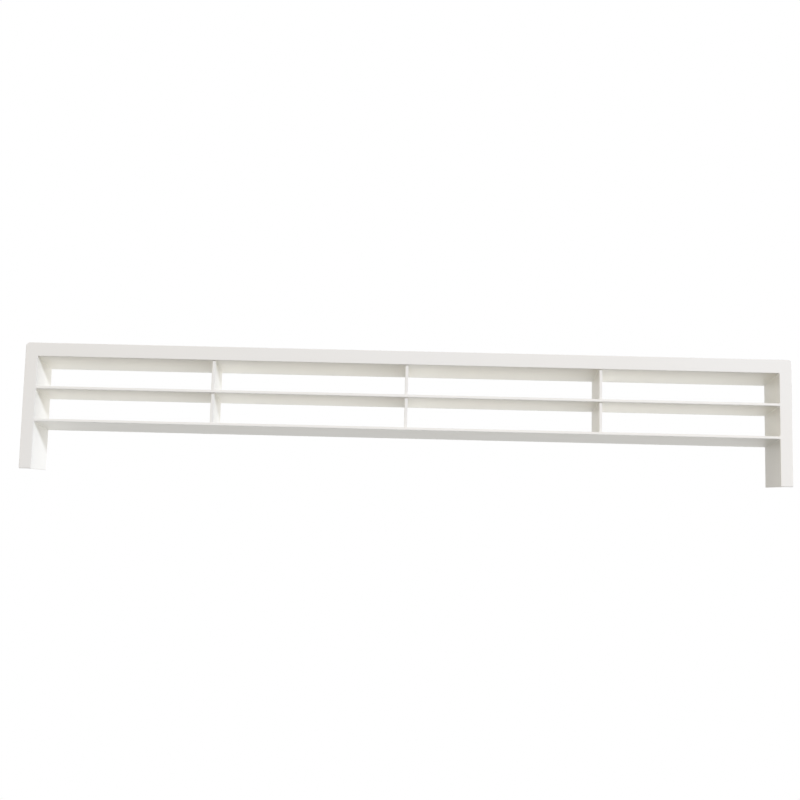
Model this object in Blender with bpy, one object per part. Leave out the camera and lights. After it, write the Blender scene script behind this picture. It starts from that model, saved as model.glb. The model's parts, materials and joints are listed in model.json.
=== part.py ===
"""Ventilation grille for a cabinet plinth, moulded in one piece from white plastic.

A flat flange in the form of an upside-down U lies against the front of the plinth. A shallow box
behind it passes through the plinth's cut-out. Two long slats and three upright dividers part the
box into two rows of four air cells, and the legs run on below the lower slat to the floor.

Metres. +X runs along the length, +Y goes into the cabinet and +Z points up. The origin is on the
floor, half way along the length and half way through the depth.
"""

import math

import bmesh
import bpy

# Overall size of the moulding.
LENGTH = 0.545
HEIGHT = 0.0905
DEPTH = 0.048

# Flange: what shows of it round the opening, its thickness and its outline.
TOP_BAR = 0.0098
LEG_WIDTH = 0.0087
FLANGE_THICKNESS = 0.0022
FLANGE_CORNER_RADIUS = 0.0028
FLANGE_EDGE_RADIUS = 0.0005

# Box walls and the way they taper towards the back, so that the box finds its way into the cut-out.
WALL = 0.0020
WALL_THINNING = 0.0004
TOP_WALL_LEAN = 0.00095
LEAD_IN_LENGTH = 0.0020
LEAD_IN_SET_BACK = 0.0006
BOX_CORNER_RADIUS = 0.0020

# Slats: two thin shelves with flat noses that are flush with the flange.
SLAT_THICKNESS = 0.0021
SLAT_THINNING = 0.00045
SPACE_BELOW_SLATS = 0.0336
ROW_COUNT = 2

# Dividers: upright plates whose front edges stand back from the noses of the slats.
DIVIDER_COUNT = 3
DIVIDER_PITCH = 0.1378
DIVIDER_THICKNESS = 0.0022
DIVIDER_THINNING = 0.0004
DIVIDER_SET_BACK = 0.0017
DIVIDER_NOSE_RADIUS = 0.0004

# Rounding of the openings' front edges and of the corners inside the cells.
MOUTH_RADIUS = 0.0003
CELL_CORNER_RADIUS = 0.0005
NOSE_STEP = 0.00006

# Feet: level under the flange, then the undersides of the walls rise to the back.
FOOT_DEPTH = 0.0030
FOOT_RISE = 0.0044

# Crush ribs that grip the edges of the cut-out.
TOP_RIB_COUNT = 6
TOP_RIB_END_DISTANCE = 0.0450
SIDE_RIB_COUNT = 2
SIDE_RIB_END_DISTANCE = 0.0180
RIB_LENGTH = 0.0300
RIB_WIDTH = 0.0016
RIB_HEIGHT = 0.0007
RIB_TIP_HEIGHT = 0.00015

# How finely round stretches are cut, how far a cutter runs past what it cuts, and the distance at
# which the loose caps of an outline are welded to its rim.
ARC_STEPS = 4
CUTTER_MARGIN = 0.0100
WELD_DISTANCE = 0.00001

WHITE = (0.86, 0.86, 0.85, 1.0)
ROUGHNESS = 0.38

# Worked out from the sizes above.
HALF_LENGTH = LENGTH / 2
HALF_OPENING = HALF_LENGTH - LEG_WIDTH
OPENING_TOP = HEIGHT - TOP_BAR
ROW_PITCH = (OPENING_TOP - SPACE_BELOW_SLATS) / ROW_COUNT


def clear_scene():
    """Remove every object of the scene."""
    for item in list(bpy.data.objects):
        bpy.data.objects.remove(item, do_unlink=True)


def make_collection(name):
    """Add a collection to the scene."""
    collection = bpy.data.collections.new(name)
    bpy.context.scene.collection.children.link(collection)
    return collection


def white_plastic():
    """Material of the moulding: white plastic with a fine satin texture."""
    material = bpy.data.materials.new("white_plastic")
    material.use_nodes = True
    shader = material.node_tree.nodes["Principled BSDF"]
    shader.inputs["Base Color"].default_value = WHITE
    shader.inputs["Roughness"].default_value = ROUGHNESS
    shader.inputs["Metallic"].default_value = 0.0
    material.diffuse_color = WHITE
    return material


def part_way(start, end, depth):
    """Value at a depth behind the front face, of a size that changes evenly over the box's depth."""
    return start + (end - start) * depth / DEPTH


def round_front_edge(depth, radius):
    """Depths along a rounded front edge, each with how far the opening is still wider there.

    The first lies in front of the face, in line with the arc's first stretch, so that the cutter
    crosses the face at an angle.
    """
    stations = []
    for step in range(ARC_STEPS + 1):
        angle = math.radians(90) * step / ARC_STEPS
        stations.append((depth + radius * (1 - math.cos(angle)), radius * (1 - math.sin(angle))))
    second_depth, second_growth = stations[1]
    stations[0] = (2 * depth - second_depth, 2 * radius - second_growth)
    return stations


def corner_arc(x, z, radius, first_angle):
    """Points of a quarter circle round a centre, anticlockwise from an angle in degrees."""
    points = []
    for step in range(ARC_STEPS + 1):
        angle = math.radians(first_angle + 90 * step / ARC_STEPS)
        points.append((x + radius * math.cos(angle), z + radius * math.sin(angle)))
    return points


def rounded_rectangle(left, right, bottom, top, radius):
    """Points of a rectangle with round corners, anticlockwise from the lower right corner."""
    return (
        corner_arc(right - radius, bottom + radius, radius, -90)
        + corner_arc(right - radius, top - radius, radius, 0)
        + corner_arc(left + radius, top - radius, radius, 90)
        + corner_arc(left + radius, bottom + radius, radius, 180)
    )


def loft(name, sections, collection):
    """Closed solid through upright sections, each (depth behind the front face, points in X and Z)."""
    shell = bmesh.new()
    rings = []
    for depth, points in sections:
        y = depth - DEPTH / 2
        rings.append([shell.verts.new((x, y, z)) for x, z in points])
    for near, far in zip(rings, rings[1:]):
        for index in range(len(near)):
            after = (index + 1) % len(near)
            shell.faces.new((near[index], near[after], far[after], far[index]))
    shell.faces.new(rings[0])
    shell.faces.new(reversed(rings[-1]))
    bmesh.ops.recalc_face_normals(shell, faces=shell.faces)
    mesh = bpy.data.meshes.new(name)
    shell.to_mesh(mesh)
    shell.free()
    solid = bpy.data.objects.new(name, mesh)
    collection.objects.link(solid)
    return solid


def make_tool(name, sections, collection):
    """A lofted solid that is only joined to the moulding or cut from it."""
    tool = loft(name, sections, collection)
    tool.hide_render = True
    tool.display_type = "WIRE"
    return tool


def combine(body, tools, operation):
    """Join a collection of tools to the body, or cut them away, all at once."""
    modifier = body.modifiers.new(tools.name, "BOOLEAN")
    modifier.operation = operation
    modifier.solver = "EXACT"
    modifier.operand_type = "COLLECTION"
    modifier.collection = tools


def flange_plate(collection):
    """Flat flange with its round top corners, before the opening is cut; it starts below the floor."""
    arc_side = HALF_LENGTH - FLANGE_CORNER_RADIUS
    arc_height = HEIGHT - FLANGE_CORNER_RADIUS
    outline = [(-HALF_LENGTH, -CUTTER_MARGIN), (HALF_LENGTH, -CUTTER_MARGIN)]
    outline += corner_arc(arc_side, arc_height, FLANGE_CORNER_RADIUS, 0)
    outline += corner_arc(-arc_side, arc_height, FLANGE_CORNER_RADIUS, 90)

    curve = bpy.data.curves.new("flange_outline", "CURVE")
    curve.dimensions = "2D"
    curve.fill_mode = "BOTH"
    curve.extrude = FLANGE_THICKNESS / 2 - FLANGE_EDGE_RADIUS
    curve.bevel_depth = FLANGE_EDGE_RADIUS
    curve.bevel_resolution = 2
    curve.offset = -FLANGE_EDGE_RADIUS
    spline = curve.splines.new("POLY")
    spline.points.add(len(outline) - 1)
    for point, (x, z) in zip(spline.points, outline):
        point.co = (x, z, 0.0, 1.0)
    spline.use_cyclic_u = True

    source = bpy.data.objects.new("flange_outline", curve)
    collection.objects.link(source)
    source.rotation_euler = (math.radians(90), 0.0, 0.0)
    source.location = (0.0, (FLANGE_THICKNESS - DEPTH) / 2, 0.0)
    bpy.context.view_layer.update()
    depsgraph = bpy.context.evaluated_depsgraph_get()
    mesh = bpy.data.meshes.new_from_object(source.evaluated_get(depsgraph))
    shell = bmesh.new()
    shell.from_mesh(mesh)
    bmesh.ops.remove_doubles(shell, verts=shell.verts, dist=WELD_DISTANCE)
    bmesh.ops.recalc_face_normals(shell, faces=shell.faces)
    shell.to_mesh(mesh)
    shell.free()
    mesh.transform(source.matrix_world)
    bpy.data.objects.remove(source, do_unlink=True)

    plate = bpy.data.objects.new("grille", mesh)
    collection.objects.link(plate)
    return plate


def wall_at(depth):
    """Thickness of the box's walls at a depth."""
    return part_way(WALL, WALL - WALL_THINNING, depth)


def opening_top_at(depth):
    """Height of the top wall's underside at a depth."""
    return part_way(OPENING_TOP, OPENING_TOP - TOP_WALL_LEAN, depth)


def box_section(depth, set_back=0.0):
    """Outer section of the box at a depth; the walls lean and thin towards the back."""
    wall = wall_at(depth) - set_back
    side = HALF_OPENING + wall
    top = opening_top_at(depth) + wall
    return depth, rounded_rectangle(-side, side, -CUTTER_MARGIN, top, BOX_CORNER_RADIUS)


def box_block(collection):
    """Outside of the box, from within the flange to the lead-in at the back."""
    sections = [
        box_section(FLANGE_THICKNESS / 2),
        box_section(DEPTH - LEAD_IN_LENGTH),
        box_section(DEPTH, LEAD_IN_SET_BACK),
    ]
    return make_tool("box_block", sections, collection)


def row_floor(row, depth):
    """Height of the air cells' floor in a row, counted from the lowest."""
    front = SPACE_BELOW_SLATS + row * ROW_PITCH + SLAT_THICKNESS
    if row == 0:
        return front
    return part_way(front, front - SLAT_THINNING, depth)


def row_ceiling(row, depth):
    """Height of the air cells' ceiling in a row; the highest is the underside of the top wall."""
    if row == ROW_COUNT - 1:
        return opening_top_at(depth)
    return SPACE_BELOW_SLATS + (row + 1) * ROW_PITCH


def mouth_tool(row, collection):
    """Shallow slot in front of a whole row, whose front edges are rounded."""
    def section(depth, growth):
        grown = NOSE_STEP + growth
        return depth, rounded_rectangle(
            -HALF_OPENING - grown, HALF_OPENING + grown,
            row_floor(row, 0) - grown, row_ceiling(row, 0) + grown,
            CELL_CORNER_RADIUS,
        )

    stations = round_front_edge(0.0, MOUTH_RADIUS)
    sections = [section(-CUTTER_MARGIN, stations[0][1])]
    sections += [section(depth, growth) for depth, growth in stations]
    sections.append(section(DIVIDER_SET_BACK, 0.0))
    return make_tool("row_%d_mouth" % row, sections, collection)


def cell_tool(row, column, collection):
    """Air cell behind the mouth: a pocket right through, whose dividers have rounded front edges."""
    left_divider = (column - (DIVIDER_COUNT + 1) / 2) * DIVIDER_PITCH
    right_divider = left_divider + DIVIDER_PITCH

    def section(depth, growth):
        half = part_way(DIVIDER_THICKNESS, DIVIDER_THICKNESS - DIVIDER_THINNING, depth) / 2 - growth
        left = -HALF_OPENING if column == 0 else left_divider + half
        right = HALF_OPENING if column == DIVIDER_COUNT else right_divider - half
        return depth, rounded_rectangle(
            left, right, row_floor(row, depth), row_ceiling(row, depth), CELL_CORNER_RADIUS
        )

    stations = round_front_edge(DIVIDER_SET_BACK, DIVIDER_NOSE_RADIUS)
    sections = [section(DIVIDER_SET_BACK / 2, stations[0][1])]
    sections += [section(depth, growth) for depth, growth in stations]
    sections.append(section(DEPTH + CUTTER_MARGIN, 0.0))
    return make_tool("cell_%d_%d" % (row, column), sections, collection)


def notch_tool(collection):
    """Space between the legs below the lowest slat, open at the floor."""
    def section(depth, growth):
        top = part_way(SPACE_BELOW_SLATS, SPACE_BELOW_SLATS + SLAT_THINNING, depth) + growth
        side = HALF_OPENING + growth
        return depth, rounded_rectangle(-side, side, -2 * CUTTER_MARGIN, top, CELL_CORNER_RADIUS)

    stations = round_front_edge(0.0, MOUTH_RADIUS)
    sections = [section(-CUTTER_MARGIN, stations[0][1])]
    sections += [section(depth, growth) for depth, growth in stations]
    sections.append(section(DEPTH + CUTTER_MARGIN, 0.0))
    return make_tool("notch", sections, collection)


def floor_tool(collection):
    """What is cut off below the feet: level at the front, then rising to the back."""
    def section(depth, top):
        side = HALF_LENGTH + CUTTER_MARGIN
        bottom = -2 * CUTTER_MARGIN
        return depth, [(side, bottom), (side, top), (-side, top), (-side, bottom)]

    slope = FOOT_RISE / (DEPTH - FOOT_DEPTH)
    sections = [
        section(-CUTTER_MARGIN, 0.0),
        section(FOOT_DEPTH, 0.0),
        section(DEPTH + CUTTER_MARGIN, FOOT_RISE + slope * CUTTER_MARGIN),
    ]
    return make_tool("below_feet", sections, collection)


def rib_height(depth):
    """How far a crush rib stands out of its wall at a depth."""
    return RIB_HEIGHT + (RIB_TIP_HEIGHT - RIB_HEIGHT) * (depth - FLANGE_THICKNESS) / RIB_LENGTH


def top_rib(index, collection):
    """Crush rib on top of the box."""
    span = LENGTH - 2 * TOP_RIB_END_DISTANCE
    x = -span / 2 + span * index / (TOP_RIB_COUNT - 1)

    def section(depth):
        wall_top = opening_top_at(depth) + wall_at(depth)
        low, high = wall_top - WALL / 2, wall_top + rib_height(depth)
        left, right = x - RIB_WIDTH / 2, x + RIB_WIDTH / 2
        return depth, [(right, low), (right, high), (left, high), (left, low)]

    sections = [section(FLANGE_THICKNESS / 2), section(FLANGE_THICKNESS + RIB_LENGTH)]
    return make_tool("top_rib_%d" % index, sections, collection)


def side_rib(side, index, collection):
    """Crush rib on the outside of a leg's wall; side is -1 for the left and 1 for the right."""
    low_end = SIDE_RIB_END_DISTANCE
    high_end = OPENING_TOP - SIDE_RIB_END_DISTANCE
    z = low_end + (high_end - low_end) * index / (SIDE_RIB_COUNT - 1)

    def section(depth):
        wall_side = HALF_OPENING + wall_at(depth)
        inner = side * (wall_side - WALL / 2)
        outer = side * (wall_side + rib_height(depth))
        low, high = z - RIB_WIDTH / 2, z + RIB_WIDTH / 2
        return depth, [(inner, low), (outer, low), (outer, high), (inner, high)]

    sections = [section(FLANGE_THICKNESS / 2), section(FLANGE_THICKNESS + RIB_LENGTH)]
    name = "left" if side < 0 else "right"
    return make_tool("%s_rib_%d" % (name, index), sections, collection)


def build_grille(parts, additions, cutters):
    """The whole moulding: box and ribs joined to the flange, then every opening cut."""
    grille = flange_plate(parts)
    box_block(additions)
    for index in range(TOP_RIB_COUNT):
        top_rib(index, additions)
    for side in (-1, 1):
        for index in range(SIDE_RIB_COUNT):
            side_rib(side, index, additions)
    combine(grille, additions, "UNION")

    for row in range(ROW_COUNT):
        mouth_tool(row, cutters)
        for column in range(DIVIDER_COUNT + 1):
            cell_tool(row, column, cutters)
    notch_tool(cutters)
    floor_tool(cutters)
    combine(grille, cutters, "DIFFERENCE")
    grille.data.materials.append(white_plastic())
    return grille


def main():
    clear_scene()
    parts = make_collection("plinth_ventilation_grille")
    additions = make_collection("additions")
    cutters = make_collection("cutters")
    build_grille(parts, additions, cutters)


main()
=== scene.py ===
"""Finished surface of the plinth ventilation grille, and a plain studio for it.

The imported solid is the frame, and one moulding takes its place. Geometry Nodes join a flange and a box,
cut out two rows of air cells and the space below them, and set in the dividers. The edges are then
rounded, the upper front edges of the slats once more and wider, and crush ribs and the marks of the
ejector pins are added to the hidden side.

Metres. +X runs along the length, +Y goes into the cabinet and +Z points up from the floor.
"""

import json
import math

import bpy
from bpy.props import FloatProperty, FloatVectorProperty, IntProperty, PointerProperty
from bpy.types import Operator, Panel, PropertyGroup
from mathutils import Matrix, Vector

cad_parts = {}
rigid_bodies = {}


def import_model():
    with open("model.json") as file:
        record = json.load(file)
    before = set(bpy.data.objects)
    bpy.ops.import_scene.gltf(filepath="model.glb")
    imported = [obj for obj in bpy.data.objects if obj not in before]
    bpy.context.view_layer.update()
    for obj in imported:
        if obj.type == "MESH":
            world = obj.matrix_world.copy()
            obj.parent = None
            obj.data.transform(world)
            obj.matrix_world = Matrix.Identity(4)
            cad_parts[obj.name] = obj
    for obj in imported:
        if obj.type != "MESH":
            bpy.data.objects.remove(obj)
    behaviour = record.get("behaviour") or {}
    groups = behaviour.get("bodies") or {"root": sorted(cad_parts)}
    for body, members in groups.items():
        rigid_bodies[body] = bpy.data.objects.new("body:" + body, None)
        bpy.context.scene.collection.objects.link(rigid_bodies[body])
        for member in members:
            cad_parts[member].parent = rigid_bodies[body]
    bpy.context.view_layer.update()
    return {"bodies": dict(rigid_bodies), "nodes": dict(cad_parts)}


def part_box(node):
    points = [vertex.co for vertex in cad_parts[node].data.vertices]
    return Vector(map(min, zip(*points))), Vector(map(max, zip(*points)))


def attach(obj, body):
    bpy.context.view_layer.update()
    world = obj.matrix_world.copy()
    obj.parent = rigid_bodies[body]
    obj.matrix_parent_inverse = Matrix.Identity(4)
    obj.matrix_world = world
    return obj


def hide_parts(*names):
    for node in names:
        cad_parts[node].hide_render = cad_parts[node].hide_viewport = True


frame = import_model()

bl_info = {
    "name": "Plinth Ventilation Grille",
    "version": (1, 0, 0),
    "blender": (4, 5, 0),
    "location": "3D View > Sidebar > Grille",
    "description": "Builds a moulded plinth ventilation grille and a studio for it",
    "category": "Add Mesh",
}

BODY = "root"
CAD_NODE = "grille"

CAD_LOW, CAD_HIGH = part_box(CAD_NODE)

# Points and faces of round shapes and edges.
CORNER_POINTS = 9               # points of each round corner of a block
NOSE_STEPS = 6                  # faces round the nose of a slat
EDGE_SEGMENTS = 3               # faces round every other edge
EDGE_ANGLE = math.radians(32)   # faces that meet at more than this form an edge
MERGE_DISTANCE = 0.000001       # points of a block closer than this become one
FLOOR_SIDES = 96

# Blocks that are joined and blocks that are cut out.
CUTTER_MARGIN = 0.010           # how far a cutter runs past what it cuts
BACK_MARGIN = 0.001             # how far box and dividers run past the back before it is cut flat
NOSE_OVERRUN = 0.00002          # how far the arc that cuts a slat's nose starts and ends outside it
DIVIDER_START = 0.6             # share of the lowest slat's thickness at which the dividers start
DIVIDER_END = 0.3               # share of the top wall's thickness at which they end
DIVIDER_CORNER = 0.00005        # radius of a divider's corners before its edges are rounded
RIB_ROOT = 0.5                  # share of a wall's thickness that a crush rib reaches into it
SIDE_MARKS = 4                  # crush ribs, or ejector marks, at both sides together

# Noise in the plastic: sizes of its lumps, how many times longer they are along X, Y and Z, and what
# they do.
DRIFT_SIZE = 0.085
DRIFT_STRETCH = (2.0, 1.0, 1.0)
DRIFT_RANGE = (0.35, 0.65)      # noise at which the tint leaves one colour and reaches the other
FLOW_SIZE = 0.004
FLOW_STRETCH = (12.0, 3.0, 1.0)
FLOW_ROUGHNESS = 0.08           # how much the flow marks change the roughness
GRAIN_ROUGHNESS = 0.05          # how much the grain changes it
SMOOTH_GRAIN = 0.3              # depth of the grain behind the front, as a share of its depth there

PLASTIC_IOR = 1.49
FLOOR_ROUGHNESS = 0.75


def length(name, description, default):
    """A size that a user can change."""
    return FloatProperty(name=name, description=description, default=default, min=0.0, unit="LENGTH")


def share(name, description, default, top=1.0):
    """A plain number from nothing to a top value."""
    return FloatProperty(name=name, description=description, default=default, min=0.0, max=top)


def colour(name, description, default):
    """A colour that a user can change."""
    return FloatVectorProperty(
        name=name, description=description, default=default, size=3, min=0.0, max=1.0, subtype="COLOR"
    )


def angle(name, description, degrees):
    """An angle that a user can change."""
    return FloatProperty(
        name=name, description=description, default=math.radians(degrees), subtype="ANGLE"
    )


class MouldingSizes(PropertyGroup):
    """Sizes of the moulding."""

    length: length("Length", "Overall length of the flange", CAD_HIGH.x - CAD_LOW.x)
    height: length("Height", "Overall height above the floor", CAD_HIGH.z)
    depth: length("Depth", "From the front face to the back of the box", CAD_HIGH.y - CAD_LOW.y)
    top_bar: length("Top bar", "Height of the flange above the opening", 0.0098)
    leg_width: length("Leg width", "Width of the flange beside the opening", 0.0087)
    flange_thickness: length("Flange thickness", "Thickness of the flange", 0.0022)
    flange_corner: length("Flange corner", "Radius of the flange's upper corners", 0.0028)
    wall: length("Wall", "Thickness of the box's walls at the front", 0.0020)
    wall_thinning: length("Wall thinning", "How much thinner the walls are at the back", 0.0004)
    top_wall_lean: length("Top wall lean", "How much lower the top wall lies at the back", 0.00095)
    lead_in_length: length("Lead-in length", "Depth of the lead-in at the back of the box", 0.0020)
    lead_in_set_back: length("Lead-in set back", "How far the lead-in leans in", 0.0006)
    box_corner: length("Box corner", "Radius of the box's outer corners", 0.0020)
    cell_corner: length("Cell corner", "Radius of the corners inside the cells", 0.0005)
    slat_thickness: length("Slat thickness", "Thickness of a slat at its nose", 0.0021)
    slat_thinning: length("Slat thinning", "How much thinner a slat is at the back", 0.00045)
    nose_radius: length("Nose radius", "Rounding of the upper front edges of the slats", 0.0014)
    nose_end: length("Nose end", "From the end of a slat to where its rounding starts", 0.0006)
    space_below_slats: length("Space below slats", "From the floor to the lowest slat", 0.0336)
    row_count: IntProperty(name="Rows", description="Rows of air cells", default=2, min=1)
    divider_count: IntProperty(name="Dividers", description="Upright dividers", default=3, min=1)
    divider_pitch: length("Divider pitch", "From one divider to the next", 0.1378)
    divider_thickness: length("Divider thickness", "Thickness of a divider at its front", 0.0022)
    divider_thinning: length("Divider thinning", "How much thinner a divider is at the back", 0.0004)
    divider_set_back: length("Divider set back", "From the front face to a divider's edge", 0.0017)
    foot_depth: length("Foot depth", "Depth over which the feet are level", 0.0030)
    foot_rise: length("Foot rise", "Height of the walls' undersides at the back", 0.0044)
    edge_radius: length("Edge radius", "Rounding of every edge", 0.00035)
    rib_count: IntProperty(name="Ribs", description="Crush ribs on the top wall", default=6, min=2)
    rib_end: length("Rib end distance", "From the end of the flange to the outer rib", 0.0450)
    side_rib_end: length("Side rib distance", "Of a side rib from its end of the wall", 0.0180)
    rib_length: length("Rib length", "Length of a crush rib behind the flange", 0.0300)
    rib_width: length("Rib width", "Width of a crush rib", 0.0016)
    rib_height: length("Rib height", "Height of a crush rib at the flange", 0.0007)
    rib_tip: length("Rib tip height", "Height of a crush rib at its tip", 0.00015)
    rib_corner: length("Rib corner", "Radius of a crush rib's edges", 0.0004)
    pin_count: IntProperty(name="Pins", description="Ejector marks on the top bar", default=9, min=2)
    pin_end: length("Pin end distance", "From the end of the flange to the outer mark", 0.0300)
    side_pin_end: length("Side pin distance", "Of a leg's mark from the leg's end", 0.0280)
    pin_radius: length("Pin radius", "Radius of an ejector mark", 0.0020)
    pin_depth: length("Pin depth", "Depth of an ejector mark", 0.00015)


class PlasticFinish(PropertyGroup):
    """Colour and surface of the plastic."""

    white: colour("White", "Colour of the plastic", (0.900, 0.885, 0.832))
    warm_white: colour("Warm white", "Colour of the plastic where its tint drifts", (0.896, 0.877, 0.817))
    textured: share("Textured roughness", "Roughness of the textured front", 0.50)
    smooth: share("Smooth roughness", "Roughness inside the cells and on the back", 0.40)
    grain_size: length("Grain size", "Size of the moulded grain", 0.00032)
    grain_depth: length("Grain depth", "Depth of the moulded grain on the front", 0.000030)
    wave_size: length("Wave size", "Length of the slow waves in the surface", 0.030)
    wave_depth: length("Wave depth", "Depth of the slow waves in the surface", 0.000014)


class StudioSettings(PropertyGroup):
    """Light, floor and camera."""

    fill: share("Fill level", "Peak of the soft light from the upper front left", 1.12, 4.0)
    fill_tint: colour("Fill tint", "Colour of the soft light from the front", (1.0, 0.945, 0.875))
    fill_azimuth: angle("Fill azimuth", "Angle of the fill light to the right of the front", -30.0)
    fill_elevation: angle("Fill elevation", "Angle of the fill light above the floor", 27.0)
    back: share("Back level", "Peak of the soft light from the back right", 2.08, 4.0)
    back_tint: colour("Back tint", "Colour of the soft light from the back", (0.985, 0.985, 0.975))
    back_azimuth: angle("Back azimuth", "Angle of the back light to the right of the front", 154.0)
    back_elevation: angle("Back elevation", "Angle of the back light above the floor", -6.0)
    focus: share("Focus", "How closely the soft light keeps to its direction", 4.0, 20.0)
    key: share("Key level", "Level of the key light on a surface that faces it", 0.67, 2.0)
    key_tint: colour("Key tint", "Colour of the key light", (0.809, 0.856, 1.0))
    key_azimuth: angle("Key azimuth", "Angle of the key light to the right of the front", 42.0)
    key_elevation: angle("Key elevation", "Angle of the key light above the floor", 13.7)
    key_distance: length("Key distance", "From the grille to the key light", 4.0)
    key_size: length("Key size", "Width of the key light", 0.4)
    floor: colour("Floor", "Colour of the floor", (0.87, 0.86, 0.83))
    floor_gap: length("Floor gap", "How far the floor lies below the feet", 0.0002)
    floor_inner: length("Floor inner radius", "Where the floor starts to fade", 0.55)
    floor_outer: length("Floor outer radius", "Where the floor has faded away", 1.50)
    camera_place: FloatVectorProperty(
        name="Camera place", description="Place of the camera", subtype="TRANSLATION", unit="LENGTH",
        default=(-0.00132, -1.14483, -0.12643),
    )
    camera_turn: FloatVectorProperty(
        name="Camera turn", description="Turn of the camera about X, Y and Z", subtype="EULER",
        default=(math.radians(99.178), math.radians(-1.504), math.radians(0.785)),
    )
    lens: FloatProperty(
        name="Lens", description="Focal length in millimetres", default=72.081, unit="CAMERA"
    )
    shift: FloatProperty(
        name="Shift", description="Sideways shift of the lens in widths of the picture", default=0.0301
    )


class Value:
    """An output of a node, written in sums like a number."""

    def __init__(self, tree, socket):
        self.tree = tree
        self.socket = socket

    def __add__(self, other):
        return self.tree.maths("ADD", self, other)

    def __sub__(self, other):
        return self.tree.maths("SUBTRACT", self, other)

    def __rsub__(self, other):
        return self.tree.maths("SUBTRACT", other, self)

    def __mul__(self, other):
        return self.tree.maths("MULTIPLY", self, other)

    def __truediv__(self, other):
        return self.tree.maths("DIVIDE", self, other)

    def __rtruediv__(self, other):
        return self.tree.maths("DIVIDE", other, self)

    def __neg__(self):
        return self.tree.maths("MULTIPLY", self, -1.0)

    def __abs__(self):
        return self.tree.maths("ABSOLUTE", self)

    __radd__ = __add__
    __rmul__ = __mul__

    def other(self, name):
        """Another output of the same node."""
        return Value(self.tree, find_socket(self.socket.node.outputs, name))


def find_socket(sockets, name):
    """The socket in use that has a name, or a number in the node's list."""
    if isinstance(name, int):
        return sockets[name]
    for socket in sockets:
        if socket.name == name and socket.enabled:
            return socket
    raise KeyError("no socket named %s" % name)


class Tree:
    """A node tree that is written as expressions."""

    def __init__(self, node_tree):
        self.node_tree = node_tree
        self.node_tree.nodes.clear()

    def add(self, kind, settings=None, sockets=None, output=None):
        """Add a node: its settings first, then the values and links of its sockets."""
        node = self.node_tree.nodes.new(kind)
        for name, setting in (settings or {}).items():
            setattr(node, name, setting)
        for name, entry in (sockets or {}).items():
            socket = find_socket(node.inputs, name)
            for value in entry if isinstance(entry, list) else [entry]:
                if isinstance(value, Value):
                    self.node_tree.links.new(value.socket, socket)
                else:
                    socket.default_value = value
        if output is None:
            shown = [socket for socket in node.outputs if socket.enabled]
            return Value(self, shown[0]) if shown else None
        return Value(self, find_socket(node.outputs, output))

    def maths(self, operation, *values):
        """A Math node."""
        return self.add("ShaderNodeMath", {"operation": operation}, dict(enumerate(values)))

    def split(self, vector):
        """The X, Y and Z of a vector."""
        x = self.add("ShaderNodeSeparateXYZ", None, {"Vector": vector}, "X")
        return x, x.other("Y"), x.other("Z")

    def vector(self, x, y, z):
        """A vector of three values."""
        return self.add("ShaderNodeCombineXYZ", None, {"X": x, "Y": y, "Z": z})

    def fade(self, value, low, high):
        """From 0 where a value is low to 1 where it is high, smoothly."""
        settings = {"interpolation_type": "SMOOTHSTEP"}
        return self.add("ShaderNodeMapRange", settings, {"Value": value, "From Min": low, "From Max": high})


class GeometryTree(Tree):
    """A Geometry Nodes tree whose named inputs are the sizes that it uses."""

    def __init__(self, name, sizes, takes_geometry):
        super().__init__(bpy.data.node_groups.new(name, "GeometryNodeTree"))
        self.sizes = sizes
        self.used = {}
        self.node_tree.is_modifier = True
        self.interface = self.node_tree.interface
        self.interface.new_socket("Geometry", in_out="OUTPUT", socket_type="NodeSocketGeometry")
        self.entry = self.node_tree.nodes.new("NodeGroupInput")
        if takes_geometry:
            self.interface.new_socket("Geometry", in_out="INPUT", socket_type="NodeSocketGeometry")
            self.geometry = Value(self, self.entry.outputs["Geometry"])

    def size(self, key):
        """The named input for one of the sizes, made when it is first used."""
        label = self.sizes.bl_rna.properties[key].name
        if key not in self.used:
            value = getattr(self.sizes, key)
            kind = "NodeSocketInt" if isinstance(value, int) else "NodeSocketFloat"
            socket = self.interface.new_socket(label, in_out="INPUT", socket_type=kind)
            if kind == "NodeSocketFloat":
                socket.subtype = "DISTANCE"
            socket.default_value = value
            self.used[key] = socket.identifier
        return Value(self, find_socket(self.entry.outputs, label))

    def finish(self, geometry, material):
        """End the tree with plain geometry in one material."""
        geometry = self.add("GeometryNodeRealizeInstances", None, {"Geometry": geometry})
        geometry = self.add("GeometryNodeSetMaterial", None, {"Geometry": geometry, "Material": material})
        self.add("NodeGroupOutput", None, {"Geometry": geometry})

    def put_on(self, piece):
        """Put the tree on a piece as a modifier, with the sizes in its inputs."""
        modifier = piece.modifiers.new(self.node_tree.name, "NODES")
        modifier.node_group = self.node_tree
        for key, identifier in self.used.items():
            modifier[identifier] = getattr(self.sizes, key)


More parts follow.
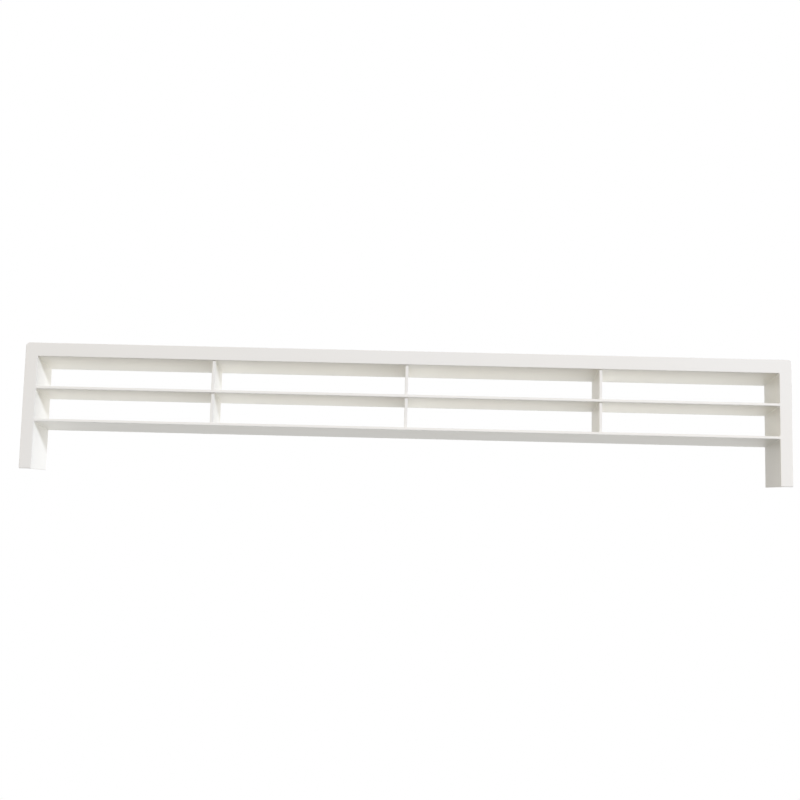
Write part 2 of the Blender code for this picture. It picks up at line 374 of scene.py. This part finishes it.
def blocks(tree, count, place, corner, segments=1):
    """Blocks with round corners, one for each number up to the count.

    place takes a block's number and the share of its depth, and gives its Y and its left, right,
    bottom and top there.
    """
    points = tree.add("GeometryNodeMeshLine", None, {"Count": count, "Offset": (0.0, 0.0, 0.0)})
    points = tree.add(
        "GeometryNodeStoreNamedAttribute", {"data_type": "FLOAT", "domain": "POINT"},
        {"Geometry": points, "Name": "block", "Value": tree.add("GeometryNodeInputIndex")},
    )
    half_step = math.radians(45) / CORNER_POINTS
    unit = tree.add(
        "GeometryNodeMeshCylinder", {"fill_type": "NGON"},
        {"Vertices": 4 * CORNER_POINTS, "Side Segments": segments, "Radius": 1.0, "Depth": 1.0},
    )
    unit = tree.add("GeometryNodeTransform", None, {"Geometry": unit, "Rotation": (0.0, 0.0, half_step)})
    geometry = tree.add("GeometryNodeInstanceOnPoints", None, {"Points": points, "Instance": unit})
    geometry = tree.add("GeometryNodeRealizeInstances", None, {"Geometry": geometry})

    number = tree.add(
        "GeometryNodeInputNamedAttribute", {"data_type": "FLOAT"}, {"Name": "block"}, "Attribute"
    )
    across, up, along = tree.split(tree.add("GeometryNodeInputPosition"))
    y, left, right, bottom, top = place(number, 0.5 - along)
    turn = tree.maths("ARCTAN2", abs(up), abs(across)) - half_step
    turn = turn * (math.radians(90) / (math.radians(90) - 2 * half_step))
    reach = (right - left) * 0.5 - corner + corner * tree.maths("COSINE", turn)
    rise = (top - bottom) * 0.5 - corner + corner * tree.maths("SINE", turn)
    position = tree.vector(
        (left + right) * 0.5 + tree.maths("SIGN", across) * reach,
        y,
        (bottom + top) * 0.5 + tree.maths("SIGN", up) * rise,
    )
    geometry = tree.add("GeometryNodeSetPosition", None, {"Geometry": geometry, "Position": position})
    return tree.add("GeometryNodeMergeByDistance", None, {"Geometry": geometry, "Distance": MERGE_DISTANCE})


def boolean(tree, operation, body, tools):
    """Join tools to a body, or cut them from it."""
    settings = {"operation": operation, "solver": "EXACT"}
    if operation == "UNION":
        return tree.add("GeometryNodeMeshBoolean", settings, {"Mesh": [body] + tools})
    return tree.add("GeometryNodeMeshBoolean", settings, {"Mesh 1": body, "Mesh 2": tools})


class Form:
    """Heights, widths and depths of the moulding, worked out in a tree from its named sizes."""

    def __init__(self, tree):
        size = tree.size
        self.tree = tree
        self.half_length = size("length") * 0.5
        self.half_opening = self.half_length - size("leg_width")
        self.opening_top = size("height") - size("top_bar")
        self.row_pitch = (self.opening_top - size("space_below_slats")) / size("row_count")
        self.front = size("depth") * -0.5
        self.flange_back = self.front + size("flange_thickness")
        self.flange_middle = self.front + size("flange_thickness") * 0.5

    def part_way(self, y, change):
        """How much of a change over the box's depth has come about at a Y."""
        return change * (y - self.front) / self.tree.size("depth")

    def wall(self, y):
        """Thickness of the box's walls at a Y."""
        return self.tree.size("wall") - self.part_way(y, self.tree.size("wall_thinning"))

    def ceiling(self, y):
        """Height of the top wall's underside at a Y."""
        return self.opening_top - self.part_way(y, self.tree.size("top_wall_lean"))

    def slat_top(self, number):
        """Height of a slat's upper face at its nose, the lowest slat being number 0."""
        size = self.tree.size
        return size("space_below_slats") + number * self.row_pitch + size("slat_thickness")

    def spread(self, number, count, end):
        """X of one of the marks that stand evenly along the grille, up to a distance from its ends."""
        return (self.tree.size("length") - end * 2.0) * (number / (count - 1.0) - 0.5)

    def beside(self, number, top, end):
        """Side, -1 or 1, and height of a mark that stands at a distance from the floor or from a top."""
        side = self.tree.maths("SIGN", number - (SIDE_MARKS - 1) / 2)
        upper = self.tree.maths("MODULO", number, 2.0)
        return side, end + (top - end * 2.0) * upper


def halves(tree, along):
    """How much of the first and of the second half of a block's depth is passed at a share of it."""
    return tree.maths("MINIMUM", along * 2.0, 1.0), tree.maths("MAXIMUM", along * 2.0 - 1.0, 0.0)


def flange_and_box(tree, form):
    """The flange and the outside of the box, joined, still filled and reaching below the floor."""
    size = tree.size

    def flange(number, along):
        y = form.front + size("flange_thickness") * along
        return y, -form.half_length, form.half_length, -CUTTER_MARGIN, size("height")

    def box(number, along):
        first, second = halves(tree, along)
        straight = size("depth") - size("flange_thickness") * 0.5 - size("lead_in_length")
        lead_in = (size("lead_in_length") + BACK_MARGIN) * second
        y = form.flange_middle + straight * first + lead_in
        wall = form.wall(y) - lead_in * size("lead_in_set_back") / size("lead_in_length")
        side = form.half_opening + wall
        return y, -side, side, -CUTTER_MARGIN, form.ceiling(y) + wall

    plate = blocks(tree, 1, flange, size("flange_corner"))
    block = blocks(tree, 1, box, size("box_corner"), 2)
    return boolean(tree, "UNION", plate, [block])


def openings(tree, form):
    """What is cut out: the rows of cells, the space below them, and what lies below the feet.

    The lowest slat thins from below and the others from above, and the top wall leans down.
    """
    size = tree.size
    reach = size("depth") * 0.5 + CUTTER_MARGIN

    def row(number, along):
        y = reach * (along * 2.0 - 1.0)
        upper = tree.maths("MINIMUM", number, 1.0)
        floor = form.slat_top(number) - upper * form.part_way(y, size("slat_thinning"))
        highest = tree.maths("COMPARE", number + 1.0, size("row_count"), 0.5)
        ceiling = size("space_below_slats") + (number + 1.0) * form.row_pitch
        ceiling = ceiling - highest * form.part_way(y, size("top_wall_lean"))
        return y, -form.half_opening, form.half_opening, floor, ceiling

    def notch(number, along):
        y = reach * (along * 2.0 - 1.0)
        top = size("space_below_slats") + form.part_way(y, size("slat_thinning"))
        return y, -form.half_opening, form.half_opening, -2 * CUTTER_MARGIN, top

    def below_feet(number, along):
        first, second = halves(tree, along)
        level_end = form.front + size("foot_depth")
        y = (level_end + reach) * first - reach + (reach - level_end) * second
        slope = size("foot_rise") / (size("depth") - size("foot_depth"))
        side = form.half_length + CUTTER_MARGIN
        return y, -side, side, -2 * CUTTER_MARGIN, slope * second * (reach - level_end)

    corner = size("cell_corner")
    return [
        blocks(tree, size("row_count"), row, corner),
        blocks(tree, 1, notch, corner),
        blocks(tree, 1, below_feet, corner, 2),
    ]


def dividers(tree, form):
    """The upright dividers, each from inside the lowest slat to inside the top wall."""
    size = tree.size

    def divider(number, along):
        reach = size("depth") - size("divider_set_back") + BACK_MARGIN
        y = form.front + size("divider_set_back") + reach * along
        middle = (number - (size("divider_count") - 1.0) * 0.5) * size("divider_pitch")
        half = (size("divider_thickness") - form.part_way(y, size("divider_thinning"))) * 0.5
        bottom = size("space_below_slats") + size("slat_thickness") * DIVIDER_START
        top = form.ceiling(y) + form.wall(y) * DIVIDER_END
        return y, middle - half, middle + half, bottom, top

    return blocks(tree, size("divider_count"), divider, DIVIDER_CORNER)


def behind_the_back(tree, form):
    """What is cut off to leave the back flat."""
    size = tree.size

    def behind(number, along):
        side = form.half_length + CUTTER_MARGIN
        y = size("depth") * 0.5 + CUTTER_MARGIN * along
        return y, -side, side, -2 * CUTTER_MARGIN, size("height") + CUTTER_MARGIN

    return blocks(tree, 1, behind, size("cell_corner"))


def body_tree(sizes, material):
    """The moulding with sharp edges."""
    tree = GeometryTree("grille_body", sizes, False)
    form = Form(tree)
    body = flange_and_box(tree, form)
    body = boolean(tree, "DIFFERENCE", body, openings(tree, form))
    body = boolean(tree, "UNION", body, [dividers(tree, form)])
    body = boolean(tree, "DIFFERENCE", body, [behind_the_back(tree, form)])
    tree.finish(body, material)
    return tree


def rib_blocks(tree, form):
    """Crush ribs on the top wall and on the outside of both legs' walls."""
    size = tree.size

    def depth_and_height(along):
        y = form.flange_middle + (size("flange_thickness") * 0.5 + size("rib_length")) * along
        drop = (size("rib_height") - size("rib_tip")) * (y - form.flange_back) / size("rib_length")
        return y, size("rib_height") - drop

    def top_rib(number, along):
        y, height = depth_and_height(along)
        middle = form.spread(number, size("rib_count"), size("rib_end"))
        half = size("rib_width") * 0.5
        wall_top = form.ceiling(y) + form.wall(y)
        return y, middle - half, middle + half, wall_top - size("wall") * RIB_ROOT, wall_top + height

    def side_rib(number, along):
        y, height = depth_and_height(along)
        side, level = form.beside(number, form.opening_top, size("side_rib_end"))
        half_root = size("wall") * (RIB_ROOT / 2)
        middle = side * (form.half_opening + form.wall(y) + height * 0.5 - half_root)
        half = height * 0.5 + half_root
        half_width = size("rib_width") * 0.5
        return y, middle - half, middle + half, level - half_width, level + half_width

    corner = size("rib_corner")
    return [
        blocks(tree, size("rib_count"), top_rib, corner),
        blocks(tree, SIDE_MARKS, side_rib, corner),
    ]


def nose_blocks(tree, form):
    """Cutters that round the upper front edge of each slat, running out at the slat's ends."""
    size = tree.size
    segments = NOSE_STEPS + 1

    def nose(number, along):
        station = along * float(segments)
        turn = tree.maths("MAXIMUM", station - 1.0, 0.0) * (math.radians(90) / NOSE_STEPS)
        ahead = (1.0 - tree.maths("MINIMUM", station, 1.0)) * CUTTER_MARGIN
        radius = size("nose_radius") + NOSE_OVERRUN
        depth = radius * (1.0 - tree.maths("COSINE", turn)) - NOSE_OVERRUN
        level = form.slat_top(number)
        bottom = level - radius * (1.0 - tree.maths("SINE", turn)) + NOSE_OVERRUN
        side = form.half_opening - size("nose_end") - depth
        return form.front + depth - ahead, -side, side, bottom, level + size("nose_radius")

    return [blocks(tree, size("row_count"), nose, 0.0, segments)]


def pin_blocks(tree, form):
    """Round cutters for the ejector marks on the back of the flange."""
    size = tree.size
    radius = size("pin_radius")

    def depth(along):
        return form.flange_back + size("pin_depth") * (along * 2.0 - 1.0)

    def top_pin(number, along):
        middle = form.spread(number, size("pin_count"), size("pin_end"))
        level = size("height") - (size("top_bar") - size("wall")) * 0.5
        return depth(along), middle - radius, middle + radius, level - radius, level + radius

    def leg_pin(number, along):
        side, level = form.beside(number, size("height"), size("side_pin_end"))
        middle = side * (form.half_length - (size("leg_width") - size("wall")) * 0.5)
        return depth(along), middle - radius, middle + radius, level - radius, level + radius

    return [
        blocks(tree, size("pin_count"), top_pin, radius),
        blocks(tree, SIDE_MARKS, leg_pin, radius),
    ]


def marks_tree(sizes, material):
    """Crush ribs, round noses and ejector marks, worked into the body with its rounded edges."""
    tree = GeometryTree("grille_marks", sizes, True)
    form = Form(tree)
    body = boolean(tree, "UNION", tree.geometry, rib_blocks(tree, form))
    body = boolean(tree, "DIFFERENCE", body, nose_blocks(tree, form) + pin_blocks(tree, form))
    tree.finish(body, material)
    return tree


def settle(piece):
    """Swap a piece's mesh for what its modifiers make of it, and remove them."""
    depsgraph = bpy.context.evaluated_depsgraph_get()
    mesh = bpy.data.meshes.new_from_object(piece.evaluated_get(depsgraph), depsgraph=depsgraph)
    piece.modifiers.clear()
    piece.data = mesh


def noise(tree, where, lump, detail=2.0, stretch=(1.0, 1.0, 1.0)):
    """Noise from 0 to 1 whose lumps have a size in metres."""
    scale = tuple(1.0 / (lump * part) for part in stretch)
    mapped = tree.add("ShaderNodeMapping", None, {"Vector": where, "Scale": scale})
    return tree.add("ShaderNodeTexNoise", None, {"Vector": mapped, "Scale": 1.0, "Detail": detail}, "Fac")


def white_moulded_plastic(finish, sizes):
    """White plastic: a fine grain on the visible front, smoother behind it, with a slow drift of tint."""
    material = bpy.data.materials.new("white_moulded_plastic")
    material.use_nodes = True
    material.diffuse_color = (*finish.white, 1.0)
    tree = Tree(material.node_tree)
    where = tree.add("ShaderNodeTexCoord", None, None, "Object")
    _, y, _ = tree.split(where)
    front = sizes.depth * -0.5
    textured = 1.0 - tree.fade(y, front + sizes.edge_radius, front + sizes.flange_thickness)

    drift = tree.fade(noise(tree, where, DRIFT_SIZE, stretch=DRIFT_STRETCH), *DRIFT_RANGE)
    tint = tree.add(
        "ShaderNodeMix", {"data_type": "RGBA"},
        {"Factor": drift, "A": (*finish.white, 1.0), "B": (*finish.warm_white, 1.0)}, "Result",
    )
    grain = noise(tree, where, finish.grain_size, detail=1.5)
    flow = noise(tree, where, FLOW_SIZE, stretch=FLOW_STRETCH)
    rough = textured * (finish.textured - finish.smooth) + finish.smooth
    rough = rough + (flow - 0.5) * FLOW_ROUGHNESS + (grain - 0.5) * GRAIN_ROUGHNESS

    wave = noise(tree, where, finish.wave_size, detail=1.0)
    grain_share = textured * (1.0 - SMOOTH_GRAIN) + SMOOTH_GRAIN
    height = grain * finish.grain_depth * grain_share + wave * finish.wave_depth
    bumped = tree.add("ShaderNodeBump", None, {"Strength": 1.0, "Distance": 1.0, "Height": height})
    shader = tree.add(
        "ShaderNodeBsdfPrincipled", None,
        {"Base Color": tint, "Roughness": rough, "Metallic": 0.0, "IOR": PLASTIC_IOR, "Normal": bumped},
    )
    tree.add("ShaderNodeOutputMaterial", None, {"Surface": shader})
    return material


class GRILLE_OT_build_moulding(Operator):
    """Build the whole grille as one moulding"""

    bl_idname = "plinth_grille.build_moulding"
    bl_label = "Build Moulding"

    def execute(self, context):
        sizes = context.scene.grille_sizes
        material = white_moulded_plastic(context.scene.grille_finish, sizes)
        piece = bpy.data.objects.new("grille_moulding", bpy.data.meshes.new("grille_moulding"))
        context.scene.collection.objects.link(piece)
        body_tree(sizes, material).put_on(piece)
        rounding = piece.modifiers.new("edges", "BEVEL")
        rounding.width = sizes.edge_radius
        rounding.segments = EDGE_SEGMENTS
        rounding.limit_method = "ANGLE"
        rounding.angle_limit = EDGE_ANGLE
        rounding.use_clamp_overlap = False
        marks_tree(sizes, material).put_on(piece)
        settle(piece)
        if not piece.data.polygons:
            raise RuntimeError("the moulding came out empty")
        piece.data.shade_smooth()
        piece.data.set_sharp_from_angle(angle=EDGE_ANGLE)
        weighted = piece.modifiers.new("flat faces", "WEIGHTED_NORMAL")
        weighted.keep_sharp = True
        settle(piece)
        piece.data.name = piece.name
        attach(piece, BODY)
        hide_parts(CAD_NODE)
        return {"FINISHED"}


def direction(azimuth, elevation):
    """Unit vector from the grille towards a light; azimuth 0 is straight in front, 90 is to the right."""
    level = math.cos(elevation)
    return Vector((math.sin(azimuth) * level, -math.cos(azimuth) * level, math.sin(elevation)))


def build_key_light(studio):
    """Round lamp that lights a white surface facing it to the key's level, 1 being white.

    It leaves no highlight, because at low angles that would turn pale faces pure white.
    """
    middle = Vector((0.0, 0.0, CAD_HIGH.z / 2))
    towards = direction(studio.key_azimuth, studio.key_elevation)
    data = bpy.data.lights.new("key", "AREA")
    data.shape = "DISK"
    data.size = studio.key_size
    data.color = studio.key_tint
    data.energy = studio.key * math.pi ** 2 * studio.key_distance ** 2
    lamp = bpy.data.objects.new("key", data)
    bpy.context.scene.collection.objects.link(lamp)
    lamp.location = middle + towards * studio.key_distance
    lamp.rotation_euler = towards.to_track_quat("Z", "Y").to_euler()
    lamp.visible_glossy = False


def soft_light(tree, towards, level, tint, focus, unseen):
    """World light that is strongest from one direction and falls to nothing at the opposite one."""
    x, y, z = tree.split(tree.add("ShaderNodeTexCoord", None, None, "Object"))
    nearness = (x * towards.x + y * towards.y + z * towards.z + 1.0) * 0.5
    strength = tree.maths("POWER", nearness, focus) * unseen * level
    return tree.add("ShaderNodeBackground", None, {"Color": (*tint, 1.0), "Strength": strength})


def build_world(studio):
    """Soft light from the front and from the back, with a white background behind all that is seen."""
    world = bpy.data.worlds.new("studio")
    bpy.context.scene.world = world
    world.use_nodes = True
    tree = Tree(world.node_tree)
    ray = tree.add("ShaderNodeLightPath", None, None, "Is Camera Ray")
    seen = tree.maths("MAXIMUM", ray, ray.other("Is Glossy Ray"))
    seen = tree.maths("MAXIMUM", seen, ray.other("Is Transmission Ray"))
    towards_fill = direction(studio.fill_azimuth, studio.fill_elevation)
    towards_back = direction(studio.back_azimuth, studio.back_elevation)
    fill = soft_light(tree, towards_fill, studio.fill, studio.fill_tint, studio.focus, 1.0 - seen)
    back = soft_light(tree, towards_back, studio.back, studio.back_tint, studio.focus, 1.0 - seen)
    backdrop = tree.add("ShaderNodeBackground", None, {"Color": (1.0, 1.0, 1.0, 1.0), "Strength": seen})
    light = tree.add("ShaderNodeAddShader", None, {0: fill, 1: back})
    light = tree.add("ShaderNodeAddShader", None, {0: light, 1: backdrop})
    tree.add("ShaderNodeOutputWorld", None, {"Surface": light})


def build_floor(studio):
    """Pale floor that fades out all round, and that a camera below it looks through."""
    material = bpy.data.materials.new("pale_floor")
    material.use_nodes = True
    tree = Tree(material.node_tree)
    x, y, _ = tree.split(tree.add("ShaderNodeTexCoord", None, None, "Object"))
    radius = tree.maths("SQRT", x * x + y * y)
    below = tree.add("ShaderNodeNewGeometry", None, None, "Backfacing")
    solid = (1.0 - tree.fade(radius, studio.floor_inner, studio.floor_outer)) * (1.0 - below)
    shader = tree.add(
        "ShaderNodeBsdfPrincipled", None,
        {"Base Color": (*studio.floor, 1.0), "Roughness": FLOOR_ROUGHNESS},
    )
    clear = tree.add("ShaderNodeBsdfTransparent")
    mixed = tree.add("ShaderNodeMixShader", None, {0: solid, 1: clear, 2: shader})
    tree.add("ShaderNodeOutputMaterial", None, {"Surface": mixed})

    bpy.ops.mesh.primitive_circle_add(
        vertices=FLOOR_SIDES, radius=studio.floor_outer, fill_type="NGON",
        location=(0.0, 0.0, -studio.floor_gap),
    )
    floor = bpy.context.object
    floor.name = "floor"
    floor.data.materials.append(material)
    floor.visible_diffuse = False
    floor.visible_glossy = False
    floor.visible_shadow = False


def build_camera(studio):
    """Camera at the photograph's viewing angle."""
    data = bpy.data.cameras.new("camera")
    data.lens = studio.lens
    data.sensor_width = 36.0
    data.shift_x = studio.shift
    data.dof.use_dof = False
    data.clip_start = 0.01
    camera = bpy.data.objects.new("camera", data)
    camera.location = studio.camera_place
    camera.rotation_euler = studio.camera_turn
    bpy.context.scene.collection.objects.link(camera)
    bpy.context.scene.camera = camera


class GRILLE_OT_build_stage(Operator):
    """Build the floor, the light and the camera"""

    bl_idname = "plinth_grille.build_stage"
    bl_label = "Build Stage"

    def execute(self, context):
        studio = context.scene.grille_studio
        build_world(studio)
        build_floor(studio)
        build_key_light(studio)
        build_camera(studio)
        context.scene.view_settings.view_transform = "Standard"
        return {"FINISHED"}


class GRILLE_PT_panel(Panel):
    """Sizes, finish and studio of the grille"""

    bl_idname = "GRILLE_PT_panel"
    bl_label = "Plinth Grille"
    bl_space_type = "VIEW_3D"
    bl_region_type = "UI"
    bl_category = "Grille"

    def draw(self, context):
        layout = self.layout
        for operator in OPERATORS:
            layout.operator(operator.bl_idname)
        for group in (context.scene.grille_sizes, context.scene.grille_finish, context.scene.grille_studio):
            column = layout.column()
            for key in group.__annotations__:
                column.prop(group, key)


OPERATORS = (GRILLE_OT_build_moulding, GRILLE_OT_build_stage)
GROUPS = {
    "grille_sizes": MouldingSizes,
    "grille_finish": PlasticFinish,
    "grille_studio": StudioSettings,
}


def register():
    """Register the classes and give the scene its settings."""
    for name, group in GROUPS.items():
        bpy.utils.register_class(group)
        setattr(bpy.types.Scene, name, PointerProperty(type=group))
    for item in OPERATORS + (GRILLE_PT_panel,):
        bpy.utils.register_class(item)


def unregister():
    """Undo what register does."""
    for item in (GRILLE_PT_panel,) + OPERATORS:
        bpy.utils.unregister_class(item)
    for name, group in GROUPS.items():
        delattr(bpy.types.Scene, name)
        bpy.utils.unregister_class(group)


def main():
    """Clear all but the frame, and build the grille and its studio."""
    register()
    framework = set(frame["bodies"].values()) | set(frame["nodes"].values())
    for item in set(bpy.data.objects) - framework:
        bpy.data.objects.remove(item, do_unlink=True)
    bpy.ops.plinth_grille.build_moulding()
    bpy.ops.plinth_grille.build_stage()


if __name__ == "__main__":
    main()
